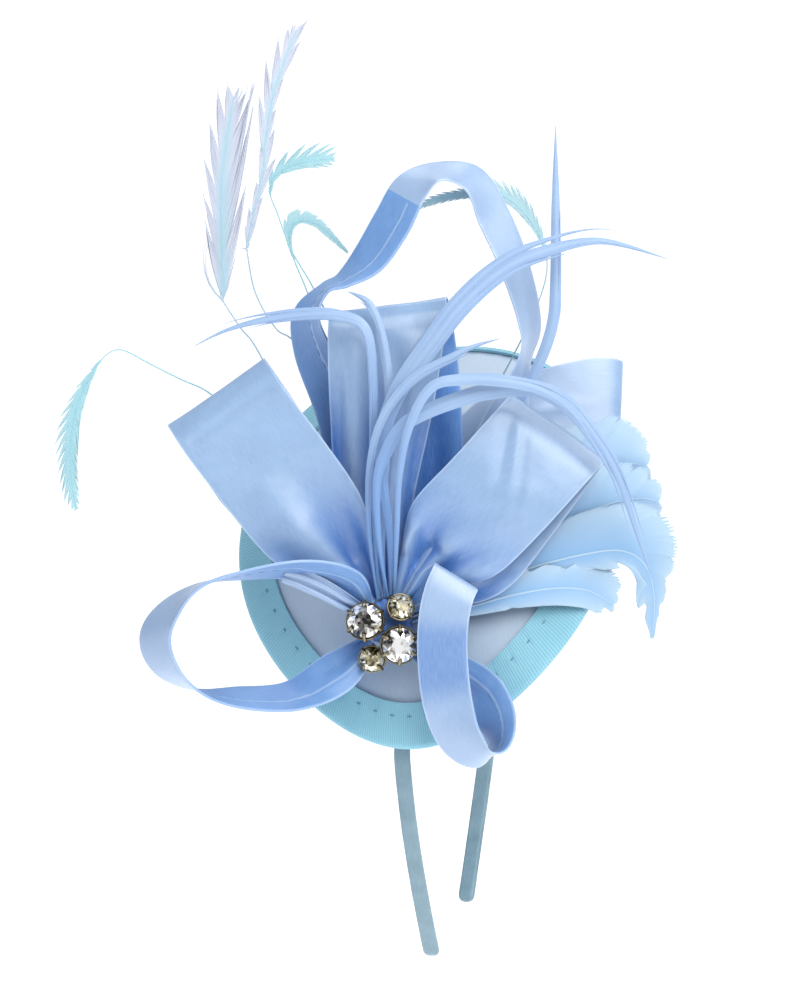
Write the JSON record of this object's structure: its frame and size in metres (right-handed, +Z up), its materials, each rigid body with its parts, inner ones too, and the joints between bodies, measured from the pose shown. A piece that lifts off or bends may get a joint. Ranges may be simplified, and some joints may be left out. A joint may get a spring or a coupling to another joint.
{
  "type": "fascinator on a headband",
  "caption": "Pale blue satin fascinator: domed teardrop base on a narrow headband, with ribbon loops, curled feathers and a cluster of cut stones.",
  "frame": {"origin": "inner face of the headband's crown, where it sits on the head", "axes": "+Z up, the band stands in the Y-Z plane, -Y is the trimmed side (the wearer's right), +X is the wearer's front"},
  "size_m": [0.211, 0.1686, 0.3227],
  "materials": {
    "satin_band": "satin wrapped strip, soft sheen",
    "satin_base": "satin stretched on the base",
    "grosgrain": "ribbed ribbon, matt",
    "satin_ribbon": "satin ribbon, high sheen",
    "feather": "dyed quill strands",
    "feather_pale": "dyed soft feather",
    "knot": "gathered ribbon",
    "crystal": "cut and polished",
    "dark_brass": "dark plated, worn bright on the claws"
  },
  "bodies": {
    "root": {"headband": "satin_band", "base": "satin_base", "base_binding": "grosgrain", "trim_knot": "knot", "wide_loop_left": "satin_ribbon", "wide_loop_centre": "satin_ribbon", "wide_loop_right": "satin_ribbon", "wide_loop_back": "satin_ribbon", "narrow_loop_left": "satin_ribbon", "narrow_loop_lower": "satin_ribbon", "narrow_loop_top": "satin_ribbon", "biot_short": "feather", "biot_left": "feather", "biot_right": "feather", "biot_upper": "feather", "biot_fall": "feather", "biot_fall_low": "feather", "biot_upright": "feather", "hackle_left": "feather_pale", "hackle_tall": "feather_pale", "hackle_curl": "feather_pale", "hackle_small": "feather_pale", "hackle_far": "feather_pale", "hackle_behind": "feather_pale", "fan_feather_top": "feather_pale", "fan_feather_inner": "feather_pale", "fan_feather_middle": "feather_pale", "fan_feather_low": "feather_pale", "stone_left": "crystal", "stone_right": "crystal", "stone_top": "crystal", "stone_low": "crystal", "setting_left": "dark_brass", "setting_right": "dark_brass", "setting_top": "dark_brass", "setting_low": "dark_brass"}
  },
  "joints": []
}
